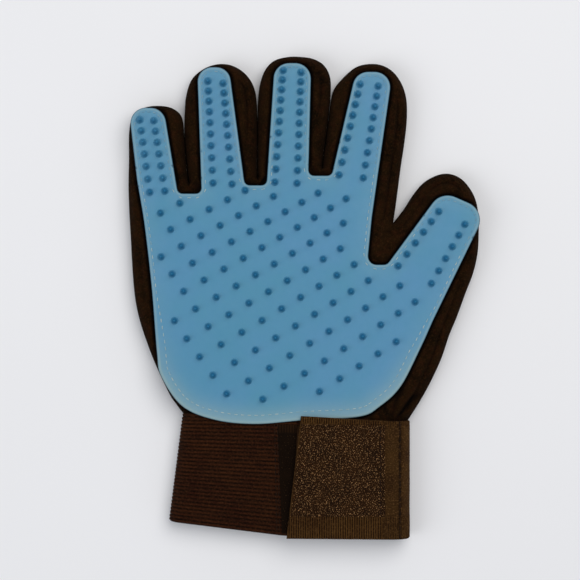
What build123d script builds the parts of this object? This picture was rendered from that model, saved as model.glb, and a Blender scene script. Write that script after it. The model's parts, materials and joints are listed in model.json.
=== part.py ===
from build123d import *
import math
import os

# Grooming glove for the right hand, lying on its back with the studded palm pad up.
# Millimetres. X runs to the thumb side, Y to the fingertips, Z up.
# The origin is under the middle of the whole glove, on the surface it lies on.

# ---- heights of the layers, from the surface up ----
FABRIC = 1.8                    # glove fabric with its foam
BACK_TOP = FABRIC
FRONT_TOP = 12.0                # outer face of the palm-side fabric
FRONT_LOW = FRONT_TOP - FABRIC
PAD_TOP = FRONT_TOP + 1.4       # silicone pad
NUB_HEIGHT = 3.6
NUB_BASE_RADIUS = 1.3
NUB_TIP_RADIUS = 0.8
THREAD = 0.25                   # how far a stitch stands proud

# ---- joints ----
HINGE_GAP = 0.6                 # slit in the layers at each finger hinge
STRAP_HINGE_X = 43.0
STRAP_GAP = 0.3                 # slit in the webbing at the strap's hinge, and air under the strap

# ---- cuff ----
WRIST_Y = -56.0                 # where the glove fabric ends and the cuff begins
CUFF_END_Y = -116.0
CUFF_RIGHT_X = 40.0             # the elastic ends under the strap's fold
ELASTIC = 1.6
CUFF_FOLD_RADIUS = FRONT_TOP / 2
CUFF_FOLD_X = -52.4             # centre of the fold on the little finger's side, at the wrist
CUFF_LEAN = (-0.12, -0.993, 0)  # the cuff widens a little on its way down
CUFF_LOW_LEFT = (-80.0, -106.0)
CUFF_LOW_MIDDLE = (-9.7, -114.7)
WRIST_MIDDLE_X = -2.9
WRIST_WIDTH = 107.0
TAPE_TOP = FRONT_TOP + 1.4      # landing tape on the cuff
LANDING_TAPE = [(-12.5, -61.6), (40.0, -61.6), (40.0, -114.5), (-10.5, -113.5)]
CUFF_SEAM = [(-14.0, -63.0), (-13.8, -112.0)]

# ---- strap ----
WEB = 1.4
HOOK = 1.0
LOOP = 1.1
STRAP_LOW = TAPE_TOP + STRAP_GAP
WEB_LOW = STRAP_LOW + HOOK
WEB_TOP = WEB_LOW + WEB
STRAP_TOP_Y = -59.5             # the strap's upper edge at its fold
STRAP_ROOT_X = 30.0             # where the strap leaves the back of the cuff
STRAP_END = [(-8.3, -115.6), (-1.4, -56.9)]
HOOK_TAPE = [(-3.0, -62.0), (36.0, -62.0), (36.0, -112.0), (-6.0, -112.0)]
LOOP_TAPE = [(-0.8, -59.0), (39.0, -60.8), (39.0, -105.5), (-6.2, -105.5)]
STRAP_SEAM = [(40.6, -62.0), (40.6, -114.5)]

# ---- digits ----
# knuckle: middle of the root hinge, lean: degrees from +Y towards the thumb side,
# joint: distance from the root hinge to the finger's second hinge,
# left and right: (distance from the root hinge, distance from the centre line) along each side
DIGITS = {
    "little": {
        "knuckle": (-70.0, 54.0), "lean": -5.0, "joint": 17.6, "length": 38.2, "round": 11.0,
        "left": [(0, -14.6), (38.2, -11.52)],
        "right": [(0, 14.2), (38.2, 14.7)],
    },
    "ring": {
        "knuckle": (-39.0, 57.6), "lean": -1.0, "joint": 23.0, "length": 54.8, "round": 14.0,
        "left": [(0, -16.0), (54.8, -17.6)],
        "right": [(0, 16.4), (54.8, 16.9)],
    },
    "middle": {
        "knuckle": (-7.0, 64.0), "lean": 3.4, "joint": 22.4, "length": 51.97, "round": 14.0,
        "left": [(0, -14.5), (51.97, -16.0)],
        "right": [(0, 15.5), (51.97, 17.4)],
    },
    "index": {
        "knuckle": (28.0, 60.1), "lean": 6.8, "joint": 23.6, "length": 52.6, "round": 14.5,
        "left": [(0, -18.4), (52.6, -17.5)],
        "right": [(0, 18.7), (52.6, 17.0)],
    },
    "thumb": {
        "knuckle": (66.84, 24.57), "lean": 26.0, "joint": 17.0, "length": 33.6, "round": 12.0,
        "left": [(0, -25.3), (5, -23.9), (33.6, -22.8)],
        "right": [(0, 18.3), (5, 17.2), (20, 10.04), (33.6, 1.0)],
    },
}

# ---- outline of the palm, between the roots of the digits ----
LITTLE_SIDE = [(-58.6, WRIST_Y), (-65.1, -46.4), (-74.5, -25.2), (-81.2, -2.0), (-83.8, 31.7)]
THUMB_SIDE = [
    (78.1, 1.6), (73.9, -9.9), (70.4, -18.3), (66.6, -29.0), (59.6, -44.4), (52.8, WRIST_Y),
]
CROTCHES = {
    "little_ring": [(-55.1, 54.5)],
    "ring_middle": [(-22.05, 57.0)],
    "middle_index": [(9.1, 62.0)],
    "index_thumb": [(45.6, 50.4), (43.8, 41.3), (43.3, 36.2)],
}

# ---- outline of the silicone pad ----
PAD_OUTER = [
    (-80.0, 56.0), (-76.4, 34.0), (-73.0, 4.1), (-70.5, -26.5), (-68.4, -38.1), (-58.4, -52.3),
    (-43.0, -58.9), (-23.5, -61.0), (0.0, -59.2), (26.6, -57.5), (36.6, -52.5), (46.6, -42.9),
    (56.0, -24.7), (62.1, -11.2),
]
# the corners from the thumb round to the little finger, each with its rounding
PAD_CORNERS = [
    (87.7, 41.4, 9.0), (66.0, 51.0, 9.0), (39.9, 15.6, 3.0), (30.5, 15.6, 4.0),
    (32.7, 37.8, 0), (42.7, 108.1, 7.5), (24.9, 108.1, 7.5), (13.3, 58.3, 2.5), (2.3, 58.3, 2.5),
    (3.7, 112.3, 7.5), (-14.1, 112.3, 7.5), (-17.9, 53.7, 2.5), (-28.2, 53.7, 2.5),
    (-35.8, 110.2, 7.0), (-51.2, 110.4, 7.0), (-49.1, 49.7, 2.5), (-60.3, 49.7, 2.5),
    (-67.1, 90.6, 7.5), (-84.1, 91.2, 7.5),
]

# ---- studs ----
# two columns on each digit: (tip left, tip right, root left, root right, rows)
NUB_COLUMNS = {
    "little": ((-78.6, 85.0), (-71.9, 84.6), (-73.8, 50.3), (-66.6, 50.9), 7),
    "ring": ((-45.9, 103.5), (-38.7, 102.5), (-43.5, 54.7), (-34.4, 54.2), 10),
    "middle": ((-9.9, 108.7), (-1.3, 107.7), (-13.8, 55.2), (-3.2, 54.6), 11),
    "index": ((27.0, 102.0), (35.7, 101.1), (16.9, 58.6), (28.5, 57.2), 9),
    "thumb": ((64.7, 41.0), (77.2, 34.9), (45.3, 15.0), (61.2, 6.6), 6),
}
ROW_GROWTH = 0.02               # each row stands a little further from the last towards the palm
# the palm's studs stand in a lattice of two slanting steps, which widen towards the wrist
LATTICE_CENTRE = (-14.1, 15.9)
STEP_I = (8.85, 5.13)
STEP_J = (6.08, -7.88)
GROW_II = (-0.145, -0.06)
GROW_IJ = (0.055, 0.14)
GROW_JJ = (0.115, -0.045)
LATTICE_MIDDLE = -3
LATTICE_ROWS = {
    -5: (-6, -5), -4: (-6, -2), -3: (-7, -1), -2: (-7, 1), -1: (-7, 2), 0: (-8, 1), 1: (-8, 0),
    2: (-8, 0), 3: (-8, 0), 4: (-8, 1), 5: (-7, 1), 6: (-5, -1),
}

# ---- stitches ----
PAD_STITCH_INSET = 4.2
STITCH_LENGTH = 2.4
STITCH_PITCH = 3.5
STITCH_WIDTH = 0.5

CURVE_STEP = 8.0                # length of the straight steps that the palm's long curves are cut into

PARTS = {}


def plate(face, low, high):
    """A flat layer with this outline, between two heights."""
    return extrude(Pos(0, 0, low) * face, amount=high - low, dir=(0, 0, 1))


def polygon(points):
    return make_face(Polyline(*points, close=True))


def along_curve(points):
    """Short straight steps along a smooth curve through these points."""
    curve = Spline(*points)
    steps = round(curve.length / CURVE_STEP)
    return [tuple(curve.position_at(k / steps))[:2] for k in range(steps + 1)]


def rounded(face, corners):
    """The face with each (x, y, radius) corner rounded."""
    for x, y, radius in corners:
        if radius:
            corner = face.vertices().sort_by_distance((x, y, 0))[0]
            face = fillet(corner, radius)
    return face


def in_frame(digit, across, along):
    """A point given across and along a digit, in the glove's frame."""
    x, y = digit["knuckle"]
    lean = math.radians(digit["lean"])
    return (
        x + across * math.cos(lean) + along * math.sin(lean),
        y - across * math.sin(lean) + along * math.cos(lean),
    )


def across_at(stations, along):
    """How far a digit's side stands from its centre line at this distance from the root."""
    for (a0, u0), (a1, u1) in zip(stations, stations[1:]):
        if along <= a1:
            return u0 + (u1 - u0) * (along - a0) / (a1 - a0)
    return stations[-1][1]


def digit_face(digit, start, end, inset=0.0):
    """A stretch of a digit's outline, or of its cavity when there is an inset."""
    at_tip = end >= digit["length"] - inset

    def side(stations, sign):
        middle = [a for a, _ in stations if start < a < end]
        return [(across_at(stations, a) + sign * inset, a) for a in [start, *middle, end]]

    left = side(digit["left"], 1)
    right = side(digit["right"], -1)
    face = polygon([in_frame(digit, u, a) for u, a in left + right[::-1]])
    if at_tip:
        tips = [in_frame(digit, *left[-1]), in_frame(digit, *right[-1])]
        face = rounded(face, [(x, y, digit["round"] - inset) for x, y in tips])
    return face


def root_corners(digit):
    """The two ends of the palm's edge at a digit's root hinge."""
    along = -HINGE_GAP / 2
    ends = (digit["left"][0][1], digit["right"][0][1])
    return [in_frame(digit, u, along) for u in ends]


def palm_face():
    d = DIGITS
    top = root_corners(d["little"]) + CROTCHES["little_ring"]
    top += root_corners(d["ring"]) + CROTCHES["ring_middle"]
    top += root_corners(d["middle"]) + CROTCHES["middle_index"]
    top += root_corners(d["index"]) + CROTCHES["index_thumb"]
    thumb_left, thumb_right = root_corners(d["thumb"])
    little_side = along_curve([*LITTLE_SIDE, top[0]])
    thumb_side = along_curve([thumb_right, *THUMB_SIDE])
    return polygon([*little_side, *top[1:], thumb_left, *thumb_side])


def mouth(digit):
    """The opening from the palm's cavity into a digit."""
    low, high = -FABRIC * 2.5, 1.0
    left = digit["left"][0][1] + FABRIC
    right = digit["right"][0][1] - FABRIC
    corners = [(left, low), (left, high), (right, high), (right, low)]
    return polygon([in_frame(digit, u, a) for u, a in corners])


def add(name, *solids):
    """Keeps one sub-part: a solid, or a group of separate solids."""
    flat = [s for shape in solids for s in shape.solids()]
    PARTS[name] = flat[0] if len(flat) == 1 else Compound(children=flat)
    PARTS[name].label = name


def nub_points():
    """Every stud's place on the pad."""
    points = []
    for tip_left, tip_right, root_left, root_right, rows in NUB_COLUMNS.values():
        whole = (rows - 1) + ROW_GROWTH * (rows - 1) ** 2
        for row in range(rows):
            share = (row + ROW_GROWTH * row * row) / whole
            for tip, root in ((tip_left, root_left), (tip_right, root_right)):
                points.append(tuple(t + (r - t) * share for t, r in zip(tip, root)))
    for j, (first, last) in LATTICE_ROWS.items():
        for i in range(first, last + 1):
            u = i - LATTICE_MIDDLE
            points.append(tuple(
                LATTICE_CENTRE[k] + STEP_I[k] * u + STEP_J[k] * j
                + GROW_II[k] * u * u + GROW_IJ[k] * u * j + GROW_JJ[k] * j * j
                for k in (0, 1)
            ))
    return points


def along_of(digit, point):
    """How far a point lies beyond a digit's root hinge, and how far from its centre line."""
    lean = math.radians(digit["lean"])
    dx = point[0] - digit["knuckle"][0]
    dy = point[1] - digit["knuckle"][1]
    return (
        dx * math.sin(lean) + dy * math.cos(lean),
        dx * math.cos(lean) - dy * math.sin(lean),
    )


def segment_of(point):
    """The stretch of the pad that a point lies on: palm, or a digit's base or tip."""
    for name, digit in DIGITS.items():
        along, across = along_of(digit, point)
        if along > 0 and digit["left"][0][1] - 5 < across < digit["right"][0][1]:
            return f"{name}_{'base' if along < digit['joint'] else 'tip'}"
    return "palm"


def studded(face, segment):
    """A stretch of the silicone pad with the studs that stand on it."""
    pad = plate(face, FRONT_TOP, PAD_TOP)
    stud = Cone(
        NUB_BASE_RADIUS, NUB_TIP_RADIUS, NUB_HEIGHT, align=(Align.CENTER, Align.CENTER, Align.MIN)
    )
    studs = [Pos(x, y, PAD_TOP) * stud for x, y in nub_points() if segment_of((x, y)) == segment]
    return pad.fuse(*studs)


def pad_face():
    outer = Spline(*PAD_OUTER)
    corners = [(x, y) for x, y, _ in PAD_CORNERS]
    rest = Polyline(PAD_OUTER[-1], *corners, PAD_OUTER[0])
    return rounded(make_face([outer, rest]), PAD_CORNERS), outer


def stitch_row(start, end, height):
    """A straight row of stitches between two points, lying on a surface at this height."""
    run = Vector(*end) - Vector(*start)
    count = int(run.length // STITCH_PITCH)
    angle = math.degrees(math.atan2(run.Y, run.X))
    box = Box(STITCH_LENGTH, STITCH_WIDTH, THREAD, align=(Align.CENTER, Align.CENTER, Align.MIN))
    places = [Vector(*start) + run * ((k + 0.5) / count) for k in range(count)]
    return [Pos(p.X, p.Y, height) * Rot(0, 0, angle) * box for p in places]


def pad_stitches(outer):
    """The seam that holds the pad down, along its outer edge over the palm."""
    box = Box(STITCH_LENGTH, STITCH_WIDTH, THREAD, align=(Align.CENTER, Align.CENTER, Align.MIN))
    count = int(outer.length // STITCH_PITCH)
    stitches = []
    for k in range(count):
        share = (k + 0.5) / count
        place = outer.position_at(share)
        run = outer.tangent_at(share)
        x = place.X - run.Y * PAD_STITCH_INSET
        y = place.Y + run.X * PAD_STITCH_INSET
        away = min(abs(along_of(DIGITS[n], (x, y))[0]) for n in ("little", "thumb"))
        if segment_of((x, y)) == "palm" and away > STITCH_LENGTH:
            angle = math.degrees(math.atan2(run.Y, run.X))
            stitches.append(Pos(x, y, PAD_TOP) * Rot(0, 0, angle) * box)
    return stitches


# ---- the digits: palm-side panel, back panel, side strips and pad, at base and at tip ----
whole_pad, pad_outer = pad_face()
palm_pad = whole_pad
for name, digit in DIGITS.items():
    joint = digit["joint"]
    half = HINGE_GAP / 2
    stretches = {
        "base": (half, joint - half, -1.0, joint + 1.0),
        "tip": (joint + half, digit["length"], joint - 1.0, digit["length"] - FABRIC),
    }
    for part, (start, end, hollow_start, hollow_end) in stretches.items():
        face = digit_face(digit, start, end)
        hollow = digit_face(digit, hollow_start, hollow_end, FABRIC)
        add(f"{name}_{part}_front", plate(face, FRONT_LOW, FRONT_TOP))
        add(f"{name}_{part}_back", plate(face, 0, BACK_TOP))
        add(f"{name}_{part}_side_strips", plate(face - hollow, BACK_TOP, FRONT_LOW))
        reach = [
            (digit["left"][0][1] - 5, start), (digit["left"][0][1] - 5, end + 5 * (part == "tip")),
            (digit["right"][0][1], end + 5 * (part == "tip")), (digit["right"][0][1], start),
        ]
        pad = whole_pad & polygon([in_frame(digit, u, a) for u, a in reach])
        add(f"{name}_{part}_pad", studded(pad, f"{name}_{part}"))
    beyond = [
        (digit["left"][0][1] - 5, -half), (digit["left"][0][1] - 5, digit["length"] + 5),
        (digit["right"][0][1] + 1, digit["length"] + 5), (digit["right"][0][1] + 1, -half),
    ]
    palm_pad = palm_pad - polygon([in_frame(digit, u, a) for u, a in beyond])

# ---- the palm ----
palm = palm_face()
add("palm_front", plate(palm, FRONT_LOW, FRONT_TOP))
add("palm_back", plate(palm, 0, BACK_TOP))
wall = palm - offset(palm, -FABRIC, kind=Kind.INTERSECTION)
for digit in DIGITS.values():
    wall = wall - mouth(digit)
wrist_mouth = Pos(WRIST_MIDDLE_X, WRIST_Y) * Rectangle(WRIST_WIDTH, FABRIC * 3)
wall = plate(wall - wrist_mouth, BACK_TOP, FRONT_LOW)
# the mouths cut the wall into six pieces, named here from the little finger's side to the thumb's
WALL_NAMES = [
    "little_side_strip", "little_ring_crotch", "ring_middle_crotch", "middle_index_crotch",
    "index_thumb_crotch", "thumb_side_strip",
]
for wall_name, solid in zip(WALL_NAMES, sorted(wall.solids(), key=lambda piece: piece.center().X)):
    add(wall_name, solid)
add("palm_pad", studded(palm_pad, "palm"))
add("pad_thread", *pad_stitches(pad_outer))

# ---- the cuff: one band of elastic, folded on the little finger's side ----
# its section stands across the wrist, and runs down the cuff along its lean
SECTION_START_Y = WRIST_Y + 2
SECTION_REACH = 75.0            # further than the cuff's end, which then trims it
section_plane = Plane((0, SECTION_START_Y, 0), x_dir=(1, 0, 0), z_dir=(0, -1, 0))
layer_width = CUFF_RIGHT_X + 2 * CUFF_FOLD_RADIUS - CUFF_FOLD_X
layer_middle = CUFF_FOLD_X + layer_width / 2
upper_layer = Pos(layer_middle, FRONT_TOP - ELASTIC / 2) * Rectangle(layer_width, ELASTIC)
lower_layer = Pos(layer_middle, ELASTIC / 2) * Rectangle(layer_width, ELASTIC)
beyond_fold = Pos(layer_middle, CUFF_FOLD_RADIUS) * Rectangle(layer_width, FRONT_TOP * 2)
fold_ring = Circle(CUFF_FOLD_RADIUS) - Circle(CUFF_FOLD_RADIUS - ELASTIC)
fold = (Pos(CUFF_FOLD_X, CUFF_FOLD_RADIUS) * fold_ring) - beyond_fold
cuff_tube = extrude(
    section_plane * (fold + upper_layer + lower_layer), amount=SECTION_REACH, dir=CUFF_LEAN
)
cuff_outline = polygon([
    (CUFF_LOW_LEFT[0], WRIST_Y - 0.3), (CUFF_RIGHT_X, WRIST_Y - 0.3),
    (CUFF_RIGHT_X, CUFF_END_Y + 0.5), CUFF_LOW_MIDDLE, CUFF_LOW_LEFT,
])
elastic = cuff_tube & plate(cuff_outline, 0, FRONT_TOP)
# the strap's fixed end takes the place of the back layer past its start
under_strap = Pos(STRAP_ROOT_X, CUFF_END_Y, 0) * Box(
    CUFF_RIGHT_X, WRIST_Y - CUFF_END_Y, ELASTIC, align=(Align.MIN, Align.MIN, Align.MIN)
)
add("cuff_elastic", elastic - under_strap)
add("landing_tape", plate(polygon(LANDING_TAPE), FRONT_TOP, TAPE_TOP))
add("cuff_thread", *stitch_row(*CUFF_SEAM, FRONT_TOP))

# ---- the strap: its fixed end comes from the back round the thumb side ----
strap_plane = Plane((0, STRAP_TOP_Y, 0), x_dir=(1, 0, 0), z_dir=(0, -1, 0))
fold_radius = WEB_TOP / 2
fold_x = STRAP_HINGE_X + STRAP_GAP / 2
before_fold = Pos(fold_x - fold_radius, fold_radius) * Rectangle(2 * fold_radius, 3 * fold_radius)
web_fold = (Pos(fold_x, fold_radius) * (Circle(fold_radius) - Circle(fold_radius - WEB))) - before_fold
web_run = Pos((STRAP_ROOT_X + fold_x) / 2, WEB / 2) * Rectangle(fold_x - STRAP_ROOT_X, WEB)
add("strap_root", extrude(strap_plane * (web_fold + web_run), amount=STRAP_TOP_Y - CUFF_END_Y))

strap_x = STRAP_HINGE_X - STRAP_GAP / 2
strap_face = polygon([(strap_x, CUFF_END_Y), *STRAP_END, (strap_x, STRAP_TOP_Y)])
add("strap_webbing", plate(strap_face, WEB_LOW, WEB_TOP))
add("hook_tape", plate(polygon(HOOK_TAPE), STRAP_LOW, WEB_LOW))
add("loop_tape", plate(polygon(LOOP_TAPE), WEB_TOP, WEB_TOP + LOOP))
add("strap_thread", *stitch_row(*STRAP_SEAM, WEB_TOP))

os.makedirs("parts", exist_ok=True)
for name, shape in PARTS.items():
    export_step(shape, f"parts/{name}.step")
box = Compound(children=list(PARTS.values())).bounding_box()
print(len(PARTS), "nodes", box.min, box.max)
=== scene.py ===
import json
import math

import bmesh
import bpy
import numpy as np
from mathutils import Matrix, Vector, geometry, interpolate, noise
from mathutils.bvhtree import BVHTree


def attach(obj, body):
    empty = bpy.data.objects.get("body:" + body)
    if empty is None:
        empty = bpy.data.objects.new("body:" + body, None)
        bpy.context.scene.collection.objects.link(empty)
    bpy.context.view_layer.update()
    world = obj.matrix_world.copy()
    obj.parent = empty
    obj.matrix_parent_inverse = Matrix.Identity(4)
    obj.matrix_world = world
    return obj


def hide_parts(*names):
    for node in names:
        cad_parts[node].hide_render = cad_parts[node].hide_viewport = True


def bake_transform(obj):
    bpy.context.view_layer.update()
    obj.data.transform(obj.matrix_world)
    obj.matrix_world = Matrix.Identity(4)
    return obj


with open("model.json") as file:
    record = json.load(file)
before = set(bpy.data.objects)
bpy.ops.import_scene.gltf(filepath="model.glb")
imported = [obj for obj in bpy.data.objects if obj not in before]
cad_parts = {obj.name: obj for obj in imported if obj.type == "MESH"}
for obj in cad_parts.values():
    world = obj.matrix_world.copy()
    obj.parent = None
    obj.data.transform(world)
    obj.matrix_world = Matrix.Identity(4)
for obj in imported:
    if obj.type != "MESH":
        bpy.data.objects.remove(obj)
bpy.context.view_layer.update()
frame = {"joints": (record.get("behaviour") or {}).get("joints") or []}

# Grooming glove, palm pad up. Shapes are worked out in millimetres and stored in metres.
MM = 0.001

# ---- layers, from the floor up ----
MIDDLE = 6.0  # the level where the palm side and the back of the fabric meet
HALF = 6.0  # from there to the outer face of each
FABRIC = 1.8
ON_LINE = 1e-3  # nearer than this counts as on a line
EDGE_REACH = 7.0  # how far in from the outline the fabric is still curving
PAD_LOW = 12.0
PAD_TOP = 13.4

CUFF_TOP_Y = -55.7
CUFF_DIP = 5.6
CUFF_RIGHT_X = 40.0

# ---- outline of the fabric, cut at the wrist and at the crotches between the digits ----
WRIST_Y = -62.0
OUTLINE = {
    "little": [
        (-56.4, WRIST_Y), (-57.0, -58.0), (-60.6, -53.0), (-65.6, -45.4), (-74.5, -25.2), (-81.2, -2.0),
        (-83.7, 31.7), (-84.6, 52), (-84.4, 66), (-84.3, 80), (-82.5, 87.5), (-77.5, 91.3), (-70.5, 92.4),
        (-63.5, 91.2), (-58.9, 87), (-57.7, 78), (-57.0, 68), (-56.1, 59), (-55.35, 54.6),
    ],
    "ring": [
        (-55.35, 54.6), (-56.03, 59), (-56.93, 68), (-57.62, 78), (-57.5, 88), (-56.8, 97), (-54.2, 104.9),
        (-49, 109.8), (-42.7, 112.3), (-36.3, 112.3), (-30.6, 109.8), (-26, 105.2), (-23.2, 98.5),
        (-22.4, 88), (-22.4, 75), (-22.6, 64), (-22.25, 57.0),
    ],
    "middle": [
        (-22.25, 57.0), (-22.52, 64), (-22.32, 75), (-22.3, 88), (-21.9, 97), (-20.8, 104), (-18.4, 110),
        (-14.2, 114.2), (-7.5, 116), (-1, 116), (4.8, 115), (9.8, 112), (12.7, 106.5), (13.1, 99), (12.1, 88),
        (10.6, 76), (9.3, 67), (8.9, 62.1),
    ],
    "index": [
        (8.9, 62.1), (9.37, 67), (10.68, 76), (12.18, 88), (13.5, 97), (15.4, 101.6), (20.7, 107.5),
        (25.8, 111.3), (31.7, 112.6), (37.7, 112), (43.2, 108.8), (47.5, 102.7), (49.7, 95),
        (49.8, 85), (48.7, 74.7), (46.9, 62.5), (45.3, 50.4), (44.1, 41.5), (43.2, 35.9),
    ],
    "thumb": [
        (43.2, 35.9), (45.8, 39.0), (48.9, 43.2), (52.9, 49.4), (57.8, 55.1), (63.9, 58.6), (69.4, 59.6),
        (74.8, 58), (79.2, 54), (82.7, 48), (84.3, 41), (84.6, 32.4), (84.1, 21.6), (81.9, 11.6),
        (78.1, 1.6), (73.9, -9.9), (70.4, -18.3), (66.6, -29.5), (61.6, -40.5), (56.4, -50),
        (51.6, -57.6), (48.6, WRIST_Y),
    ],
}

# ---- outline of the silicone pad: a curve round the palm, then corners with their roundings ----
PAD_OUTER = [
    (-80.0, 56.0), (-76.4, 34.0), (-73.0, 4.1), (-70.5, -26.5), (-68.4, -38.1), (-58.4, -52.3),
    (-43.0, -58.9), (-23.5, -61.0), (0.0, -59.2), (26.6, -57.5), (36.6, -52.5), (46.6, -42.9),
    (56.0, -24.7), (62.1, -11.2),
]
PAD_CORNERS = [
    (87.7, 41.4, 9.0), (66.0, 51.0, 9.0), (39.9, 15.6, 3.0), (30.5, 15.6, 4.0),
    (32.7, 37.8, 0), (42.7, 108.1, 7.5), (24.9, 108.1, 7.5), (13.3, 58.3, 2.5), (2.3, 58.3, 2.5),
    (3.7, 112.3, 7.5), (-14.1, 112.3, 7.5), (-17.9, 53.7, 2.5), (-28.2, 53.7, 2.5),
    (-35.8, 110.2, 7.0), (-51.2, 110.4, 7.0), (-49.1, 49.7, 2.5), (-60.3, 49.7, 2.5),
    (-67.1, 90.6, 7.5), (-84.1, 91.2, 7.5),
]

# ---- studs ----
NUB_COLUMNS = {
    "little": ((-78.6, 85.0), (-71.9, 84.6), (-73.8, 50.3), (-66.6, 50.9), 7),
    "ring": ((-45.9, 103.5), (-38.7, 102.5), (-43.5, 54.7), (-34.4, 54.2), 10),
    "middle": ((-9.9, 108.7), (-1.3, 107.7), (-13.8, 55.2), (-3.2, 54.6), 11),
    "index": ((27.0, 102.0), (35.7, 101.1), (16.9, 58.6), (28.5, 57.2), 9),
    "thumb": ((64.7, 41.0), (77.2, 34.9), (45.3, 15.0), (61.2, 6.6), 6),
}
ROW_GROWTH = 0.02
LATTICE_CENTRE = (-14.1, 15.9)
STEP_I = (8.85, 5.13)
STEP_J = (6.08, -7.88)
GROW_II = (-0.145, -0.06)
GROW_IJ = (0.055, 0.14)
GROW_JJ = (0.115, -0.045)
LATTICE_MIDDLE = -3
LATTICE_ROWS = {
    -5: (-6, -5), -4: (-6, -2), -3: (-7, -1), -2: (-7, 1), -1: (-7, 2), 0: (-8, 1), 1: (-8, 0),
    2: (-8, 0), 3: (-8, 0), 4: (-8, 1), 5: (-7, 1), 6: (-5, -1),
}
# radius and height up one stud, from the flare it grows out of to its tip
NUB_PROFILE = [
    (2.1, -0.1), (1.72, 0.12), (1.5, 0.45), (1.32, 1.0), (1.14, 1.7), (0.97, 2.4), (0.8, 2.95),
    (0.58, 3.36), (0.25, 3.58),
]
# how strongly the studs' painted shade shows on each digit, and on the palm
NUB_SHADE_STRENGTH = {"palm": 1.0, "little": 0.76, "ring": 0.86, "middle": 0.9, "index": 0.93, "thumb": 1.02}
NUB_SIDES = 14
NUB_SUNK = -0.5
NUB_TIP = 3.62

# ---- bends: (end of the root bend, half the length of the second bend) along each digit ----
BENDS = {
    "little": (8.0, 8.0), "ring": (12.0, 9.0), "middle": (12.0, 9.0),
    "index": (12.0, 9.0), "thumb": (9.0, 7.0),
}

SIDES = list(OUTLINE)


# ==== curves and distances ====


def smooth_curve(points):
    """A dense line along a smooth curve through these points."""
    p = np.array(points, float)
    p = np.vstack([2 * p[0] - p[1], p, 2 * p[-1] - p[-2]])
    t = np.linspace(0, 1, 16, endpoint=False)[:, None]
    line = []
    for a, b, c, d in zip(p, p[1:], p[2:], p[3:]):
        square, cube = 2 * a - 5 * b + 4 * c - d, 3 * b - a - 3 * c + d
        line.append(0.5 * (2 * b + (c - a) * t + square * t ** 2 + cube * t ** 3))
    return np.vstack(line + [p[-2:-1]])


def even(line, step):
    """The same line with its points evenly spaced."""
    gaps = np.hypot(*np.diff(line, axis=0).T)
    along = np.concatenate([[0], np.cumsum(gaps)])
    count = max(2, round(along[-1] / step))
    marks = np.linspace(0, along[-1], count + 1)
    return np.stack([np.interp(marks, along, line[:, k]) for k in (0, 1)], axis=1)


def unit(v):
    return v / np.linalg.norm(v, axis=-1, keepdims=True)


def rounded(corners):
    """A closed line with an arc at each corner that has a radius."""
    line = []
    places = [np.array(c[:2], float) for c in corners]
    for k, (x, y, radius) in enumerate(corners):
        here = places[k]
        if radius == 0:
            line.append(here)
            continue
        before = unit(places[k - 1] - here)
        after = unit(places[(k + 1) % len(corners)] - here)
        half = math.acos(before @ after) / 2
        centre = here + unit(before + after) * radius / math.sin(half)
        start = here + before * radius / math.tan(half) - centre
        end = here + after * radius / math.tan(half) - centre
        first = math.atan2(start[1], start[0])
        turn = (math.atan2(end[1], end[0]) - first + math.pi) % (2 * math.pi) - math.pi
        for share in np.linspace(0, 1, 10):
            angle = first + turn * share
            line.append(centre + radius * np.array((math.cos(angle), math.sin(angle))))
    return np.array(line)


def distance_to(points, line):
    """How far each point is from a line of short straight runs."""
    best = np.full(len(points), 1e9)
    for a, b in zip(line, line[1:]):
        run = b - a
        share = np.clip(((points - a) @ run) / (run @ run), 0, 1)
        gap = points - a - share[:, None] * run
        best = np.minimum(best, np.einsum("ij,ij->i", gap, gap))
    return np.sqrt(best)


def inside(points, loop):
    """Which points lie inside a closed loop."""
    x, y = points[:, 0], points[:, 1]
    found = np.zeros(len(points), bool)
    for (x0, y0), (x1, y1) in zip(loop, np.roll(loop, -1, axis=0)):
        if y0 == y1:
            continue
        crosses = ((y0 > y) != (y1 > y)) & (x < (x1 - x0) * (y - y0) / (y1 - y0) + x0)
        found ^= crosses
    return found


def smoothstep(x):
    x = np.clip(x, 0, 1)
    return x * x * (3 - 2 * x)


def bump(x, centre, width):
    return np.exp(-(((x - centre) / width) ** 2))


def rise(depth, reach):
    """A quarter of a circle: 0 at the edge, 1 from reach on."""
    return np.sqrt(1 - (1 - np.clip(depth / reach, 0, 1)) ** 2)


def grain(points, scale, seed):
    """Smooth noise between about -1 and 1, of this many millimetres across."""
    return np.array([noise.noise(Vector((x / scale, y / scale, seed))) for x, y in points])


# ==== the digits and their bends ====

joints = {j["name"]: j for j in frame["joints"]}
DIGITS = {}
for name in SIDES:
    root = joints[f"{name}_root_bend"]
    middle = joints[f"{name}_middle_bend"]
    axis = np.array(root["axis"][:2])
    DIGITS[name] = {
        "root": np.array(root["pos_m"][:2]) / MM,
        "middle": np.array(middle["pos_m"][:2]) / MM,
        "across": axis,
        "along": np.array((-axis[1], axis[0])),
        "cut": BENDS[name][0] + 0.5,
    }

side_lines = {name: even(smooth_curve(points), 1.2) for name, points in OUTLINE.items()}
fabric_edge = np.vstack([line[:-1] for line in side_lines.values()] + [side_lines["thumb"][-1:]])
wrist_line = even(np.array([fabric_edge[-1], fabric_edge[0]]), 1.5)
fabric_loop = np.vstack([fabric_edge, wrist_line[1:-1]])

pad_curve = smooth_curve(PAD_OUTER)
pad_loop = rounded([(x, y, 0) for x, y in pad_curve] + PAD_CORNERS)
pad_loop = even(np.vstack([pad_loop, pad_loop[:1]]), 1.0)[:-1]
pad_edge = np.vstack([pad_loop, pad_loop[:1]])


def along_digit(points, name):
    return (points - DIGITS[name]["root"]) @ DIGITS[name]["along"]


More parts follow.
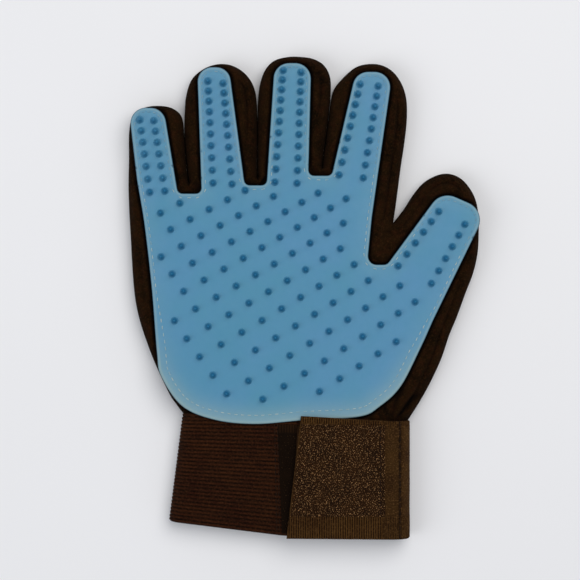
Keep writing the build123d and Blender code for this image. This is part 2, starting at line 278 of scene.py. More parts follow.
def stretch_of(points):
    """For each point the piece it belongs to: 0 for the palm, then root and tip of each digit."""
    found = np.zeros(len(points), int)
    for k, name in enumerate(SIDES):
        s = along_digit(points, name)
        stall = inside(points, side_lines[name]) & (s > 0)
        found[stall] = 1 + 2 * k
        found[stall & (s > DIGITS[name]["cut"])] = 2 + 2 * k
    return found


STRETCHES = ["palm"] + [f"{name}_{part}" for name in SIDES for part in ("root", "tip")]


def cut_lines():
    """The lines that the layers are cut along, a little longer than each digit is wide."""
    lines = []
    for name, digit in DIGITS.items():
        for s in (0, digit["cut"]):
            middle = digit["root"] + digit["along"] * s
            ends = np.array([middle - digit["across"] * 32, middle + digit["across"] * 32])
            line = even(ends, 0.25)
            own = inside(line, side_lines[name])
            near = distance_to(line, side_lines[name]) < 0.6
            line = line[own | near]
            lines.append(even(line, 1.3))
    return lines


CUTS = cut_lines()


def hang_on(piece, stretch):
    """Ties a piece to the palm if its stretch is the palm; any other piece only has its transform baked into
    its corners.
    """
    if stretch == "palm":
        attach(piece, "palm")
        return
    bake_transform(piece)


# ==== meshes ====


def vertex_normals(verts, faces):
    """Smooth normals at the vertices, for faces of three or four corners."""
    total = np.zeros_like(verts)
    for size in (3, 4):
        group = np.array([f for f in faces if len(f) == size], int).reshape(-1, size)
        first = verts[group[:, size // 2]] - verts[group[:, 0]]
        second = verts[group[:, -1]] - verts[group[:, size - 3]]
        for k in range(size):
            np.add.at(total, group[:, k], np.cross(first, second))
    length = np.linalg.norm(total, axis=1)
    length[length == 0] = 1
    return total / length[:, None]


def only_used(faces):
    """The corners that these faces use, and the same faces with their corners counted among those."""
    used = np.unique(np.concatenate([np.array(f) for f in faces]))
    index = np.zeros(used[-1] + 1, int)
    index[used] = np.arange(len(used))
    return used, [index[list(f)] for f in faces]


def tube_faces(rows, turns):
    """The sides of a tube whose rings follow one another, each with this many corners."""
    ring = np.arange((rows - 1) * turns).reshape(-1, turns)
    after = np.roll(ring, -1, axis=1)
    return np.stack([ring, after, after + turns, ring + turns], axis=2).reshape(-1, 4)


def closed_tube(rings, first, last):
    """Corners and faces of a tube through these rings, closed by a point at each end."""
    rows, turns = rings.shape[:2]
    faces = [tuple(f) for f in tube_faces(rows, turns)]
    end = (rows - 1) * turns
    for k in range(turns):
        after = (k + 1) % turns
        faces.append((rows * turns, after, k))
        faces.append((rows * turns + 1, end + k, end + after))
    return np.vstack([rings.reshape(-1, 3), first, last]), faces


def give(mesh, name, values):
    """Stores a number at each corner, for the material to read."""
    mesh.attributes.new(name, "FLOAT", "POINT").data.foreach_set("value", np.asarray(values, np.float32))


def show(name, data):
    """A new object in the scene."""
    thing = bpy.data.objects.new(name, data)
    bpy.context.scene.collection.objects.link(thing)
    return thing


def make_piece(name, verts, faces, material, normals=None, tone=None, recalc=False):
    """A mesh object from corners in millimetres. tone is a number at each vertex that the material reads."""
    mesh = bpy.data.meshes.new(name)
    mesh.from_pydata((np.asarray(verts) * MM).tolist(), [], [list(map(int, f)) for f in faces])
    if recalc:
        shape = bmesh.new()
        shape.from_mesh(mesh)
        bmesh.ops.recalc_face_normals(shape, faces=shape.faces)
        shape.to_mesh(mesh)
        shape.free()
    if tone is not None:
        give(mesh, "tone", tone)
    mesh.polygons.foreach_set("use_smooth", np.ones(len(mesh.polygons), bool))
    if normals is not None:
        mesh.normals_split_custom_set_from_vertices(normals.tolist())
    mesh.update()
    mesh.materials.append(material)
    return show(name, mesh)


def triangles_in(loop, points, lines):
    """Points and triangles that fill a loop, with edges along the lines."""
    corners = [Vector(p) for p in loop]
    edges = [(k, (k + 1) % len(loop)) for k in range(len(loop))]
    for line in lines:
        first = len(corners)
        corners += [Vector(p) for p in line]
        edges += [(first + k, first + k + 1) for k in range(len(line) - 1)]
    corners += [Vector(p) for p in points]
    made = geometry.delaunay_2d_cdt(corners, edges, [], 1, 1e-4)
    places = np.array([tuple(v) for v in made[0]])
    triangles = np.array([f for f in made[2] if len(f) == 3])
    middles = places[triangles].mean(axis=1)
    triangles = triangles[inside(middles, loop)]
    used, triangles = np.unique(triangles, return_inverse=True)
    return places[used], triangles.reshape(-1, 3)


def ring_points(edge, insets, spread=1):
    """Points along a line, set in from it by each of these distances."""
    tangent = unit(np.gradient(edge, axis=0))
    normal = np.stack([tangent[:, 1], -tangent[:, 0]], axis=1)
    found = []
    for inset in insets:
        moved = (edge + normal * inset)[::spread]
        keep = distance_to(moved, edge) > abs(inset) - 0.04
        found.append(moved[keep])
    return np.vstack(found)


def hexagons(step):
    """A grid of points in rows over the whole glove."""
    rows = np.arange(-62, 120, step * 0.866)
    grid = [(x + (k % 2) * step / 2, y) for k, y in enumerate(rows) for x in np.arange(-90, 90, step)]
    return np.array(grid)


def clear_of(points, lines, gap):
    for line in lines:
        points = points[distance_to(points, line) > gap]
    return points


def chains(edges):
    """The open chains that these edges make, each from end to end."""
    near = {}
    for a, b in edges:
        near.setdefault(a, []).append(b)
        near.setdefault(b, []).append(a)
    found, used = [], set()
    for end in sorted(v for v, others in near.items() if len(others) == 1):
        if end in used:
            continue
        chain = [end]
        used.add(end)
        while True:
            onward = [v for v in near[chain[-1]] if v not in used]
            if not onward:
                break
            chain.append(onward[0])
            used.add(onward[0])
        found.append(chain)
    return found


def edges_of(triangles):
    return np.vstack([triangles[:, [0, 1]], triangles[:, [1, 2]], triangles[:, [2, 0]]])


def border(triangles):
    """The edges that only one of these triangles has."""
    edges = edges_of(triangles)
    key = np.sort(edges, axis=1)
    _, first, count = np.unique(key, axis=0, return_index=True, return_counts=True)
    return edges[first[count == 1]]


# ==== materials ====


class Nodes:
    """A small helper that adds shader nodes to one material and links them."""

    def __init__(self, name, roughness, sheen=0.0, sheen_tint=(1, 1, 1), specular=0.5, coat=0.0):
        self.material = bpy.data.materials.new(name)
        self.material.use_nodes = True
        self.tree = self.material.node_tree
        self.shader = self.tree.nodes["Principled BSDF"]
        self.set(self.shader, {
            "Roughness": roughness, "Sheen Weight": sheen, "Sheen Roughness": 0.6,
            "Sheen Tint": (*sheen_tint, 1), "Specular IOR Level": specular, "Coat Weight": coat,
        })
        self.place = self.add("ShaderNodeTexCoord", {}, "Object")

    def set(self, node, inputs):
        """Links these inputs of a node to other nodes, or sets them to numbers."""
        for key, value in inputs.items():
            if isinstance(value, bpy.types.NodeSocket):
                self.tree.links.new(value, node.inputs[key])
            elif value is not None:
                node.inputs[key].default_value = value

    def add(self, kind, inputs, output=0, **settings):
        """Adds a node and gives one of its outputs."""
        node = self.tree.nodes.new(kind)
        for key, value in settings.items():
            setattr(node, key, value)
        self.set(node, inputs)
        return node.outputs[output]

    def scaled(self, scale):
        return self.add("ShaderNodeMapping", {"Vector": self.place, "Scale": scale})

    def noise(self, millimetres, detail=3.0, rough=0.55, vector=None):
        inputs = {"Scale": 1 / (millimetres * MM), "Detail": detail, "Roughness": rough}
        return self.add("ShaderNodeTexNoise", {"Vector": vector or self.place, **inputs}, "Fac")

    def cells(self, millimetres, vector):
        inputs = {"Vector": vector, "Scale": 1 / (millimetres * MM)}
        return self.add("ShaderNodeTexVoronoi", inputs, "Distance")

    def waves(self, millimetres, direction, distortion=0.0):
        inputs = {"Vector": self.place, "Scale": 0.314 / (millimetres * MM), "Distortion": distortion}
        return self.add("ShaderNodeTexWave", inputs, "Fac", bands_direction=direction)

    def tone(self, name="tone"):
        return self.add("ShaderNodeAttribute", {}, "Fac", attribute_name=name)

    def map(self, value, *levels):
        """The levels are the value's range, and then the range it is brought to, if that isn't 0 to 1."""
        return self.add("ShaderNodeMapRange", dict(enumerate((value, *levels))))

    def spots(self, millimetres, detail, rough, low, high, vector=None):
        """Patches of noise from 0 to 1, where low and high are the levels that become 0 and 1."""
        return self.map(self.noise(millimetres, detail, rough, vector), low, high)

    def times(self, a, b):
        return self.add("ShaderNodeMath", {0: a, 1: b}, operation="MULTIPLY")

    def plus(self, a, b):
        return self.add("ShaderNodeMath", {0: a, 1: b}, operation="ADD")

    def mix(self, share, a, b):
        return self.add("ShaderNodeMix", {0: share, 6: a, 7: b}, 2, data_type="RGBA")

    def finish(self, colour, height=None, depth=0.1, roughness=None):
        """Sets the colour, and a bump of this many millimetres."""
        self.set(self.shader, {"Base Color": colour, "Roughness": roughness})
        if height is not None:
            raised = self.add("ShaderNodeBump", {"Distance": depth * MM, "Height": height})
            self.set(self.shader, {"Normal": raised})
        return self.material


def srgb(r, g, b):
    """A colour given as it shows on a screen, 0 to 255."""
    out = []
    for v in (r, g, b):
        v /= 255
        out.append(v / 12.92 if v <= 0.04045 else ((v + 0.055) / 1.055) ** 2.4)
    return (*out, 1)


def fabric_material():
    n = Nodes("glove_fabric", 0.97, sheen=0.02, sheen_tint=(0.8, 0.45, 0.25), specular=0.02)
    streaks = n.spots(3.4, 3, 0.7, 0.45, 0.7)
    flecks = n.spots(0.9, 2, 0.8, 0.5, 0.75)
    dark = n.mix(n.spots(11, 4, 0.65, 0.36, 0.66), srgb(14, 8, 3), srgb(34, 20, 7))
    dark = n.mix(n.times(streaks, 0.6), dark, srgb(44, 20, 9))
    colour = n.mix(n.times(flecks, 0.55), dark, srgb(60, 39, 18))
    # the tone darkens the fabric towards near-black: painted shade in the crease at the edge, the seam's
    # groove, the pad's shadow and the folds
    colour = n.mix(n.tone(), colour, srgb(4, 3, 3))
    knit = n.cells(0.75, n.scaled((1.25, 0.8, 1)))
    return n.finish(colour, n.plus(n.times(knit, 0.8), n.noise(0.5, 2, 0.6)), 0.45)


def silicone_material():
    n = Nodes("silicone", 0.5, specular=0.22, coat=0.04)
    n.set(n.shader, {
        "Coat Roughness": 0.35, "Subsurface Weight": 0.1, "Subsurface Radius": (0.0006, 0.0012, 0.002),
    })
    body = n.mix(n.spots(30, 3, 0.55, 0.3, 0.7), srgb(79, 143, 171), srgb(86, 143, 179))
    body = n.mix(n.times(n.spots(3.5, 3, 0.6, 0.3, 0.7), 0.3), body, srgb(76, 138, 170))
    # paler where the margin tone is high: a painted highlight along the pad's rounded edge, and a paler tint
    # round the lower palm
    body = n.mix(n.times(n.tone("margin"), 0.85), body, srgb(140, 168, 171))
    # the studs darken up their height: painted shade
    colour = n.mix(n.tone(), body, srgb(29, 104, 144))
    # dark at the very edge of the pad: painted shade
    colour = n.mix(n.tone("rim"), colour, srgb(9, 32, 48))
    rough = n.map(n.noise(5, 3, 0.6), 0.3, 0.7, 0.4, 0.52)
    return n.finish(colour, n.noise(0.6, 3, 0.6), 0.03, rough)


def elastic_material():
    n = Nodes("elastic", 0.9, sheen=0.02, sheen_tint=(0.85, 0.5, 0.3), specular=0.04)
    base = n.mix(n.spots(14, 3, 0.6, 0.35, 0.7), srgb(43, 17, 8), srgb(58, 30, 13))
    # the tone darkens it in the grooves between the ribs: painted shade
    base = n.mix(n.tone(), srgb(5, 2, 1), base)
    uneven = n.spots(3.2, 3, 0.7, 0.4, 0.66, n.scaled((0.3, 1.4, 1)))
    base = n.mix(n.times(uneven, 0.55), base, srgb(20, 9, 5))
    colour = n.mix(n.times(n.spots(0.9, 2, 0.7, 0.45, 0.75), 0.42), base, srgb(84, 50, 28))
    threads = n.waves(0.62, "X", distortion=0.6)
    return n.finish(colour, n.plus(n.times(threads, 0.6), n.times(n.noise(0.4, 2), 0.6)), 0.2)


def webbing_material():
    n = Nodes("webbing", 0.9, sheen=0.02, sheen_tint=(0.85, 0.5, 0.3), specular=0.05)
    base = n.mix(n.spots(10, 3, 0.6, 0.35, 0.7), srgb(64, 39, 15), srgb(86, 58, 25))
    # the tone runs from dark to the webbing's colour: painted shade in the grooves between the ribs and in
    # the fold's seam, and a painted highlight along the fold's curve
    base = n.mix(n.tone(), srgb(12, 6, 2), base)
    colour = n.mix(n.times(n.spots(0.8, 2, 0.75, 0.5, 0.75), 0.6), base, srgb(112, 80, 46))
    weave = n.times(n.waves(0.7, "X"), n.waves(0.9, "Y"))
    return n.finish(colour, n.plus(weave, n.times(n.noise(0.4, 2), 0.7)), 0.2)


def pile_material():
    n = Nodes("hook_and_loop", 0.85, sheen=0.02, sheen_tint=(0.9, 0.6, 0.4), specular=0.05)
    base = n.mix(n.spots(7, 3, 0.6, 0.35, 0.7), srgb(30, 16, 6), srgb(46, 27, 10))
    base = n.mix(n.tone("shadow"), base, srgb(10, 4, 1))
    bristles = n.mix(n.map(n.noise(1.3, 1), 0.35, 0.7), srgb(108, 68, 34), srgb(216, 166, 112))
    # the bristles are tan, and their tone says how much of that shows: painted glints, at random and
    # brightest at the tips, with painted shade at their roots
    return n.finish(n.mix(n.tone(), base, bristles), n.noise(0.5, 3, 0.6), 0.15)


def thread_material(name, light, dark, specular=0.25):
    n = Nodes(name, 0.7, sheen=0.03, specular=specular)
    colour = n.mix(n.map(n.noise(2.5, 2), 0.3, 0.7), dark, light)
    return n.finish(colour, n.waves(0.35, "DIAGONAL"), 0.08)


FABRIC_LOOK = fabric_material()
SILICONE_LOOK = silicone_material()
ELASTIC_LOOK = elastic_material()
WEBBING_LOOK = webbing_material()
PILE_LOOK = pile_material()
PALE_THREAD = thread_material("pale_thread", srgb(186, 200, 192), srgb(130, 168, 180))
FAINT_THREAD = thread_material("faint_thread", srgb(142, 172, 180), srgb(98, 148, 172))
DARK_THREAD = thread_material("dark_thread", srgb(46, 27, 14), srgb(15, 8, 4), specular=0.03)


# ==== the fabric ====


def relief(points):
    """How much the palm side rises and dips under the pad and beside it."""
    return 0.28 * grain(points, 34, 3.1) - 0.1


def fabric_points():
    rings = ring_points(fabric_edge, (0.3, 0.9, 1.8, 3.0, 4.2, 4.7, 5.1, 5.5, 6.2))
    beside_pad = ring_points(pad_edge, (-0.35, 0.3, 0.8, 1.6, 2.6))
    fine, coarse = hexagons(1.5), hexagons(2.8)
    rings = rings[inside(rings, fabric_loop)]
    beside_pad = beside_pad[inside(beside_pad, fabric_loop)]
    beside_pad = beside_pad[distance_to(beside_pad, fabric_edge) > 6.6]
    under = inside(coarse, pad_loop) & (distance_to(coarse, pad_edge) > 1.2)
    fine = fine[inside(fine, fabric_loop) & ~inside(fine, pad_loop)]
    fine = fine[(distance_to(fine, fabric_edge) > 6.9) & (distance_to(fine, pad_edge) > 3.3)]
    coarse = coarse[under & (distance_to(coarse, fabric_edge) > 7.0)]
    points = np.vstack([rings, beside_pad, fine, coarse])
    points = points[points[:, 1] > WRIST_Y + 0.6]
    return clear_of(points, CUTS, 0.55)


def cuff_top(x):
    """The cuff's upper edge, which dips under the strap."""
    return CUFF_TOP_Y - CUFF_DIP * smoothstep((x + 4) / 8)


# ---- cloth simulation: the shell swells between its seams, on a coarser net ----
NET = 3.2
SEAM_IN = 4.9  # the seam along the fabric's edge, this far in
CLOTH_UNIT = 0.1  # the simulation works in centimetres
CLOTH_FRAMES = 20
CLOTH_PRESSURE = 3.0
CLOTH_GROWTH = 0.06
CLOTH_RISE = 1.0  # the most that a point may move out, in millimetres
CLOTH_SINK = 0.5


def past_pad(points):
    """How far each point is outside the pad's edge, negative under the pad."""
    return distance_to(points, pad_edge) * np.where(inside(points, pad_loop), -1, 1)


def net_points():
    rings = ring_points(fabric_edge, (1.6, 3.2, SEAM_IN, 6.8), 2)
    beside = ring_points(pad_edge, (0.5,), 2)
    beside = beside[distance_to(beside, fabric_edge) > 5.9]
    field = hexagons(NET)
    field = field[(distance_to(field, fabric_edge) > 8.2) & (distance_to(field, pad_edge) > 1.8)]
    points = np.vstack([rings, beside, field])
    points = points[inside(points, fabric_loop)]
    return points[points[:, 1] > WRIST_Y + 1.5]


def swollen_net():
    """The net, its triangles, and how far the simulation moved the upper and the lower face of each point."""
    places, triangles = triangles_in(fabric_loop, net_points(), [])
    count = len(places)
    depth = distance_to(places, fabric_edge)
    from_pad = past_pad(places)
    under = smoothstep((0.5 - from_pad) / 1.2)
    shape = HALF * rise(depth, EDGE_REACH)
    top = (MIDDLE + shape) * (1 - under) + PAD_LOW * under
    verts = np.vstack([np.column_stack([places, z]) for z in (top, MIDDLE - shape)])
    on_edge = depth < ON_LINE
    lower = np.where(on_edge, np.arange(count), np.arange(count) + count)
    faces = np.vstack([triangles, lower[triangles[:, ::-1]]])
    at_wrist = places[:, 1] < cuff_top(places[:, 0]) + 2
    in_seam = (np.abs(depth - SEAM_IN) < 0.3) & (from_pad > 2.2)
    fixed = on_edge | at_wrist
    held = np.concatenate([fixed | in_seam | (from_pad < 0.7), fixed | (depth > 6.5)])

    mesh = bpy.data.meshes.new("shell")
    mesh.from_pydata((verts * CLOTH_UNIT).tolist(), [], faces.tolist())
    shell = show("shell", mesh)
    shell.vertex_groups.new(name="held").add(np.flatnonzero(held).tolist(), 1.0, "REPLACE")
    cloth = shell.modifiers.new("cloth", "CLOTH")
    cloth.settings.quality = 5
    cloth.settings.bending_stiffness = 0.3
    cloth.settings.use_pressure = True
    cloth.settings.uniform_pressure_force = CLOTH_PRESSURE
    cloth.settings.shrink_min = -CLOTH_GROWTH
    cloth.settings.vertex_group_mass = "held"
    cloth.settings.effector_weights.gravity = 0
    cloth.collision_settings.use_collision = False
    cloth.point_cache.frame_end = CLOTH_FRAMES
    for step in range(1, CLOTH_FRAMES + 1):
        bpy.context.scene.frame_set(step)
    result = shell.evaluated_get(bpy.context.evaluated_depsgraph_get()).to_mesh()
    moved = np.array([v.co for v in result.vertices]) / CLOTH_UNIT - verts
    bpy.data.objects.remove(shell)
    bpy.data.meshes.remove(mesh)
    bpy.context.scene.frame_set(1)

    moved *= np.minimum(1, CLOTH_RISE / np.maximum(np.linalg.norm(moved, axis=1), 1e-6))[:, None]
    moved[:, :2] *= 0.6 * smoothstep(np.tile(depth, 2) / 3)[:, None]
    moved[:count, 2] = np.maximum(moved[:count, 2], -CLOTH_SINK)
    moved[count:][on_edge] = 0
    return places, triangles, np.hstack([moved[:count], moved[count:]])


def carried(net, triangles, values, points):
    """Values at the corners of a flat net, carried over to other points on it."""
    corners = [Vector((x, y, 0)) for x, y in net]
    tree = BVHTree.FromPolygons(corners, triangles.tolist())
    found = np.empty((len(points), values.shape[1]))
    for k, (x, y) in enumerate(points):
        spot, _, face, _ = tree.find_nearest((x, y, 0))
        own = triangles[face]
        found[k] = np.array(interpolate.poly_3d_calc([corners[v] for v in own], spot)) @ values[own]
    return found


def smoothed(values, triangles, times):
    """Values at the corners of these triangles, evened out with their neighbours'."""
    edges = edges_of(triangles)
    for _ in range(times):
        total, weight = values.copy(), np.ones(len(values))
        for a, b in (edges.T, edges.T[::-1]):
            np.add.at(total, a, values[b])
            np.add.at(weight, a, 1)
        values = total / weight[:, None]
    return values


def build_fabric():
    places, triangles = triangles_in(fabric_loop, fabric_points(), CUTS)
    depth = distance_to(places, fabric_edge)
    on_edge = depth < ON_LINE
    # with all three corners on the outline, a triangle would be the same face twice
    triangles = triangles[~on_edge[triangles].all(axis=1)]
    swell = smoothed(carried(*swollen_net(), places), triangles, 3)
    from_pad = past_pad(places)
    under = smoothstep((0.5 - from_pad) / 1.2)
    shape = rise(depth, EDGE_REACH)
    # the top: puffed beside the pad, pulled down along the seam and at the pad's own edge
    puff = 0.55 * bump(from_pad, 2.9, 1.9) - 1.1 * bump(from_pad, 0.4, 0.6)
    seam_room = smoothstep((from_pad - 1.4) / 2.0) * smoothstep((depth + from_pad - 7.5) / 2.5)
    seam = 0.85 * bump(depth, SEAM_IN, 0.5) * seam_room
    creases = 0.34 * grain(places, 7, 1.3) + 0.26 * grain(places * (1, 0.45), 3.2, 5.7)
    # the puckers fan out from where the cuff pulls at the thumb's side
    across, up = places[:, 0] - CUFF_RIGHT_X, places[:, 1] - WRIST_Y
    fan = np.sin(np.arctan2(up, across) * 14 + 1.2 * grain(places, 9, 2.2))
    puckers = 1.3 * fan * bump(np.hypot(up, across), 15, 11) * (across > -4)
    free = (1 - under) * smoothstep(depth / 3)
    swell *= np.minimum(1, depth / 0.8)[:, None]
    top = MIDDLE + HALF * shape + free * (puff - seam + creases + puckers + swell[:, 2])
    top = top * (1 - under) + (PAD_LOW - 0.08 + relief(places)) * under
    # the palm side runs in under the elastic at the wrist
    tuck = smoothstep((cuff_top(places[:, 0]) + 1.1 - places[:, 1]) / 2.0)
    top = top * (1 - tuck) + np.minimum(top, 9.6) * tuck
    # the back lies flat, with shallow folds that only rise
    hollow = np.clip(grain(places, 16, 7.9), 0, 1) * 0.5 + 0.35 * bump(depth, SEAM_IN, 0.6)
    low = MIDDLE - HALF * shape + hollow * smoothstep(depth / 6) + swell[:, 5]
    low = np.maximum(low, 0.02)
    low = low * (1 - tuck) + np.maximum(low, 2.2) * tuck
    # the lining, a fabric's thickness inside
    inner = rise(depth - FABRIC, EDGE_REACH - FABRIC)
    inner_top = np.minimum(MIDDLE + (HALF - FABRIC) * inner, top - FABRIC * 0.8)
    inner_low = np.maximum(MIDDLE - (HALF - FABRIC) * inner, low + FABRIC * 0.8)

    count = len(places)
    lined = triangles[(depth[triangles] > FABRIC - 0.06).all(axis=1)]
    rim = np.zeros(count, bool)
    for a, b in border(lined):
        if places[a][1] > WRIST_Y + 0.01 or places[b][1] > WRIST_Y + 0.01:
            rim[[a, b]] = True
    # the same goes for a triangle with all three corners on the lining's rim
    lined = lined[~rim[lined].all(axis=1)]
    inner_top[rim] = MIDDLE
    verts = np.vstack([np.column_stack([places, z]) for z in (top, low, inner_top, inner_low)])
    verts[:count, :2] += swell[:, :2] * (free * (1 - tuck))[:, None]
    verts[count:2 * count, :2] += swell[:, 3:5] * (1 - tuck)[:, None]
    layer = [np.arange(count) + k * count for k in range(4)]
    layer[1] = np.where(on_edge, layer[0], layer[1])
    layer[3] = np.where(rim, layer[2], layer[3])
    lined_key = {tuple(t) for t in lined}

    def faces_of(own):
        inner_own = np.array([t for t in own if tuple(t) in lined_key])
        faces = [layer[0][own], layer[1][own[:, ::-1]], layer[2][inner_own[:, ::-1]], layer[3][inner_own]]
        return np.vstack(faces), inner_own

    whole, _ = faces_of(triangles)
    normals = vertex_normals(verts, whole)
    # painted shade: darker in the crease at the outline's edge, unevenly along the seam's groove, in the
    # pad's shadow beside it and in the valleys of the puckers; the underside is darker near its edge, and the
    # lining is a little darker all over
    crease = 1 - smoothstep(np.minimum(depth, 2.2) / 2.2)
    line = bump(depth, SEAM_IN, 0.7) * seam_room
    beside = smoothstep((1.75 - from_pad) / 1.1)
    uneven_seam_shade = 0.75 + 0.5 * grain(places, 12, 6.6)
    in_fold = free * np.clip(-puckers / 0.9, 0, 1)
    shade = np.clip(0.5 * crease + 0.5 * uneven_seam_shade * line + beside + 0.75 * in_fold, 0, 1)
    tones = np.concatenate([shade, 0.4 * crease, np.full(2 * count, 0.3)])

    # where each stretch was cut, the outer fabric and its lining are joined
    belongs = stretch_of(places[triangles].mean(axis=1))
    for k, stretch in enumerate(STRETCHES):
        own = triangles[belongs == k]
        faces, inner_own = faces_of(own)
        faces = [tuple(f) for f in faces]
        cut_edges = [(a, b) for a, b in border(own) if not (on_edge[a] and on_edge[b])]
        inner_edges = {frozenset(e) for e in border(inner_own)}
        for chain in chains(cut_edges):
            pairs = list(zip(chain, chain[1:]))
            both = [i for i, e in enumerate(pairs) if frozenset(e) in inner_edges]
            first, last = both[0], both[-1] + 1
            for a, b in pairs[first:last]:
                faces.append((layer[0][a], layer[0][b], layer[2][b], layer[2][a]))
                faces.append((layer[1][b], layer[1][a], layer[3][a], layer[3][b]))
            for tail in (chain[:first + 1], chain[last:][::-1]):
                upper = [layer[0][v] for v in tail[::-1]]
                lower = [layer[1][v] for v in tail[1:]]
                faces.append((*upper, *lower, layer[2][tail[-1]]))
        used, faces = only_used(faces)
        piece = make_piece(
            f"fabric_{stretch}", verts[used], faces, FABRIC_LOOK, normals[used], tones[used], recalc=True,
        )
        hang_on(piece, stretch)
        if stretch == "palm":
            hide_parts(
                "palm_front", "palm_back", "little_side_strip", "little_ring_crotch",
                "ring_middle_crotch", "middle_index_crotch", "index_thumb_crotch", "thumb_side_strip",
            )
        else:
            node = stretch.replace("_root", "_base")
            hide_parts(*(f"{node}_{part}" for part in ("front", "back", "side_strips")))


# ==== the silicone pad ====


def nub_points():
    points = []
    for tip_left, tip_right, root_left, root_right, rows in NUB_COLUMNS.values():
        whole = (rows - 1) + ROW_GROWTH * (rows - 1) ** 2
        for row in range(rows):
            share = (row + ROW_GROWTH * row * row) / whole
            for tip, root in ((tip_left, root_left), (tip_right, root_right)):
                points.append([t + (r - t) * share for t, r in zip(tip, root)])
    for j, (first, last) in LATTICE_ROWS.items():
        for i in range(first, last + 1):
            u = i - LATTICE_MIDDLE
            points.append([
                LATTICE_CENTRE[k] + STEP_I[k] * u + STEP_J[k] * j
                + GROW_II[k] * u * u + GROW_IJ[k] * u * j + GROW_JJ[k] * j * j
                for k in (0, 1)
            ])
    return np.array(points)


def nub(x, y, base):
    """One stud, turned, with a closed underside sunk in the pad."""
    lean = 0.1 * noise.noise(Vector((x / 5, y / 5, 0.3)))
    turn = np.linspace(0, 2 * math.pi, NUB_SIDES, endpoint=False)
    radius, height = np.array([(1.6, NUB_SUNK), *NUB_PROFILE]).T[:, :, None] + 0 * turn
    rings = np.stack(
        [x + radius * np.cos(turn) + lean * height, y + radius * np.sin(turn), base + height], axis=2)
    verts, faces = closed_tube(rings, (x, y, base + NUB_SUNK), (x + lean * NUB_TIP, y, base + NUB_TIP))
    height = np.maximum(verts[:, 2] - base, 0)
    # the tone, which grows up the stud's height, is painted shade that darkens the stud
    return verts, faces, 0.35 * np.minimum(1, height / 0.5) + 0.65 * np.minimum(1, height / 2.4)


def build_pad():
    edge_rings = ring_points(pad_edge, (-0.14, -0.35, -0.65, -1.1, -1.7, -3.0))
    field = hexagons(2.4)
    field = field[distance_to(field, pad_edge) > 4.2]
    points = np.vstack([edge_rings, field])
    points = clear_of(points[inside(points, pad_loop)], CUTS, 0.4)
    places, triangles = triangles_in(pad_loop, points, CUTS)
    depth = distance_to(places, pad_edge)
    lift = relief(places)
    top = PAD_TOP - 0.62 * (1 - rise(depth, 0.75)) + 0.1 * bump(depth, 0.9, 0.5) + lift
    top -= 0.12 * pad_seam_depth(places)
    count = len(places)
    verts = np.vstack([np.column_stack([places, z]) for z in (top, PAD_LOW + lift)])

    def faces_of(own):
        faces = [tuple(t) for t in own] + [tuple(t[::-1] + count) for t in own]
        return faces + [(b, a, a + count, b + count) for a, b in border(own)]

    # pale towards the pad's edge, more so round the lower palm, and dark at the very edge: the narrow pale
    # line just in from the edge is a painted highlight on its rounded edge, and the dark at the very edge is
    # painted shade
    low_palm = smoothstep((-12 - places[:, 1]) / 38)
    margin = (0.55 + 0.3 * low_palm) * bump(depth, 0.8, 0.55) + (0.12 + 0.6 * low_palm) * bump(depth, 0, 7)
    looks = np.column_stack([np.zeros(count), np.clip(margin, 0, 1), smoothstep((0.42 - depth) / 0.4)])
    corners = np.hstack([verts, vertex_normals(verts, faces_of(triangles)), np.tile(looks, (2, 1))])
    nubs = nub_points()
    nub_home = stretch_of(nubs)
    belongs = stretch_of(places[triangles].mean(axis=1))
    for k, stretch in enumerate(STRETCHES):
        used, faces = only_used(faces_of(triangles[belongs == k]))
        rows = [corners[used]]
        start = len(used)
        for x, y in nubs[nub_home == k]:
            v, f, tone = nub(x, y, PAD_TOP + relief(np.array([(x, y)]))[0])
            tone = tone * NUB_SHADE_STRENGTH[stretch.split("_")[0]]
            rows.append(np.column_stack([v, vertex_normals(v, f), tone, np.zeros((len(v), 2))]))
            faces += [np.array(face) + start for face in f]
            start += len(v)
        rows = np.vstack(rows)
        name = f"pad_{stretch}"
        piece = make_piece(name, rows[:, :3], faces, SILICONE_LOOK, rows[:, 3:6], rows[:, 6])
        give(piece.data, "margin", rows[:, 7])
        give(piece.data, "rim", rows[:, 8])
        hang_on(piece, stretch)
        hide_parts("palm_pad" if stretch == "palm" else stretch.replace("_root", "_base") + "_pad")


# ---- the seam that holds the pad: further in round the palm, close to the edge along the digits ----
SEAM_INSET_PALM = 4.3
SEAM_INSET_DIGIT = 2.1
SEAM_PITCH = 3.4


def seam_line():
    """Places and directions of the pad's stitches, set in from its edge."""
    line = even(pad_edge, SEAM_PITCH)
    tangent = unit(np.gradient(line, axis=0))
    inward = np.stack([-tangent[:, 1], tangent[:, 0]], axis=1)
    # further in along the palm's curve, but not at its two ends
    wide = distance_to(line, pad_curve[40:-12]) < 4
    weight = np.convolve(np.pad(wide.astype(float), 3, mode="edge"), np.ones(7) / 7, mode="valid")
    inset = SEAM_INSET_DIGIT + (SEAM_INSET_PALM - SEAM_INSET_DIGIT) * weight
    moved = line + inward * inset[:, None]
    keep = (distance_to(moved, pad_edge) > inset * 0.9) & inside(moved, pad_loop)
    return moved[keep], tangent[keep]


seam_places, seam_ways = seam_line()


def pad_seam_depth(points):
    """How near each point is to a stitch: 1 at it, 0 away from it."""
    nearest = np.full(len(points), 1e9)
    for place in seam_places:
        nearest = np.minimum(nearest, ((points - place) ** 2).sum(axis=1))
    return np.exp(-nearest / 1.6)


